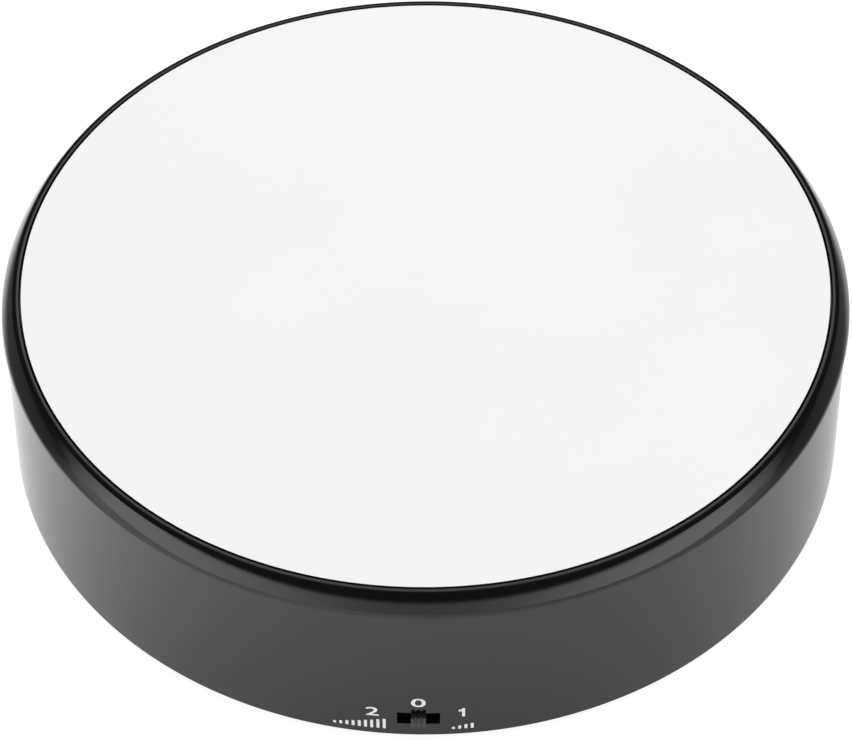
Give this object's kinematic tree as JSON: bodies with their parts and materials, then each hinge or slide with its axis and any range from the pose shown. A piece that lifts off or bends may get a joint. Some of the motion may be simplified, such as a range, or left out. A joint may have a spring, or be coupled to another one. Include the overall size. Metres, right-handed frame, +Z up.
{
  "type": "turntable display stand",
  "caption": "Round powered display stand: a low black base with a slide switch turns a flush near-white disc in a slant-edged platter.",
  "frame": {"origin": "centre of the plane that the feet stand on", "axes": "+Z up along the platter's axis, the switch faces -Y, +X to the right seen from the switch"},
  "size_m": [0.182, 0.1827, 0.044],
  "materials": {
    "black_gloss": "polished black moulding with faint swirl marks",
    "white_plate": "near-white glossy plate",
    "black_plastic": "fine spark-eroded texture",
    "rubber_feet": "matt rubber",
    "steel": "plated steel",
    "brass": "turned brass",
    "nylon": "natural nylon",
    "cell_jacket": "printed film over a metal case, no lettering",
    "board": "green board laminate",
    "resistor": "lacquered body",
    "lead_red": "PVC insulation",
    "lead_black": "PVC insulation",
    "lead_white": "PVC insulation"
  },
  "bodies": {
    "base": {"base_shell": "black_gloss", "bottom_cover": "black_plastic", "foot_1": "rubber_feet", "foot_2": "rubber_feet", "foot_3": "rubber_feet", "foot_4": "rubber_feet", "cover_screw_1": "steel", "cover_screw_2": "steel", "cover_screw_3": "steel", "cover_screw_4": "steel", "cover_screw_5": "steel", "gear_plate_screw_1": "steel", "gear_plate_screw_2": "steel", "gear_plate_screw_3": "steel", "board_screw_1": "steel", "board_screw_2": "steel", "axle_1": "steel", "axle_2": "steel", "axle_3": "steel", "contact_positive": "steel", "contact_negative": "steel", "contact_bridge": "steel", "motor_can": "steel", "switch_body": "steel", "roller_pin_1": "steel", "roller_pin_2": "steel", "roller_pin_3": "steel", "roller_pin_4": "steel", "upper_bush": "brass", "lower_bush": "brass", "motor_terminal_1": "brass", "motor_terminal_2": "brass", "gear_plate": "nylon", "motor_end_cap": "nylon", "battery_1": "cell_jacket", "battery_2": "cell_jacket", "switch_board": "board", "speed_resistor": "resistor", "lead_cells_switch": "lead_red", "lead_cells_motor": "lead_black", "lead_switch_motor": "lead_white"},
    "platter": {"platter": "black_gloss", "top_disc": "white_plate", "platter_screw": "steel", "output_shaft": "steel", "output_gear": "nylon", "shaft_clip": "steel"},
    "motor_rotor": {"motor_rotor": "steel", "motor_pinion": "brass"},
    "gear_1": {"gear_1": "nylon"},
    "gear_2": {"gear_2": "nylon"},
    "gear_3": {"gear_3": "nylon"},
    "roller_1": {"roller_1": "nylon"},
    "roller_2": {"roller_2": "nylon"},
    "roller_3": {"roller_3": "nylon"},
    "roller_4": {"roller_4": "nylon"},
    "switch_knob": {"switch_knob": "black_plastic"},
    "battery_door": {"battery_door": "black_plastic"}
  },
  "joints": [
    {"name": "platter_spin", "type": "hinge", "parent": "base", "child": "platter", "pos_m": [0, 0, 0.0407], "axis": [0, 0, 1], "continuous": true},
    {"name": "gear_3_spin", "type": "hinge", "parent": "base", "child": "gear_3", "pos_m": [0.01511, 0.01459, 0.0246], "axis": [0, 0, 1], "continuous": true},
    {"name": "gear_2_spin", "type": "hinge", "parent": "base", "child": "gear_2", "pos_m": [0.03611, 0.01459, 0.0288], "axis": [0, 0, 1], "continuous": true},
    {"name": "gear_1_spin", "type": "hinge", "parent": "base", "child": "gear_1", "pos_m": [0.04897, 0.00716, 0.0324], "axis": [0, 0, 1], "continuous": true},
    {"name": "motor_spin", "type": "hinge", "parent": "base", "child": "motor_rotor", "pos_m": [0.06183, -0.00026, 0.02], "axis": [0, 0, 1], "continuous": true},
    {"name": "roller_1_spin", "type": "hinge", "parent": "base", "child": "roller_1", "pos_m": [0.05515, 0.05515, 0.0364], "axis": [0.7071, 0.7071, 0], "continuous": true},
    {"name": "roller_2_spin", "type": "hinge", "parent": "base", "child": "roller_2", "pos_m": [-0.05515, 0.05515, 0.0364], "axis": [-0.7071, 0.7071, 0], "continuous": true},
    {"name": "roller_3_spin", "type": "hinge", "parent": "base", "child": "roller_3", "pos_m": [-0.05515, -0.05515, 0.0364], "axis": [-0.7071, -0.7071, 0], "continuous": true},
    {"name": "roller_4_spin", "type": "hinge", "parent": "base", "child": "roller_4", "pos_m": [0.05515, -0.05515, 0.0364], "axis": [0.7071, -0.7071, 0], "continuous": true},
    {"name": "switch_slide", "type": "slide", "parent": "base", "child": "switch_knob", "axis": [1, 0, 0], "range_m": [-0.0025, 0.0025]},
    {"name": "battery_door_slide", "type": "slide", "parent": "base", "child": "battery_door", "axis": [0, 1, 0], "range_m": [0, 0.007]}
  ],
  "couplings": [
    {"joint": "gear_3_spin", "follows": "platter_spin", "ratio": -4},
    {"joint": "gear_2_spin", "follows": "platter_spin", "ratio": 16},
    {"joint": "gear_1_spin", "follows": "platter_spin", "ratio": -80},
    {"joint": "motor_spin", "follows": "platter_spin", "ratio": 400},
    {"joint": "roller_1_spin", "follows": "platter_spin", "ratio": -19.5},
    {"joint": "roller_2_spin", "follows": "platter_spin", "ratio": -19.5},
    {"joint": "roller_3_spin", "follows": "platter_spin", "ratio": -19.5},
    {"joint": "roller_4_spin", "follows": "platter_spin", "ratio": -19.5}
  ]
}
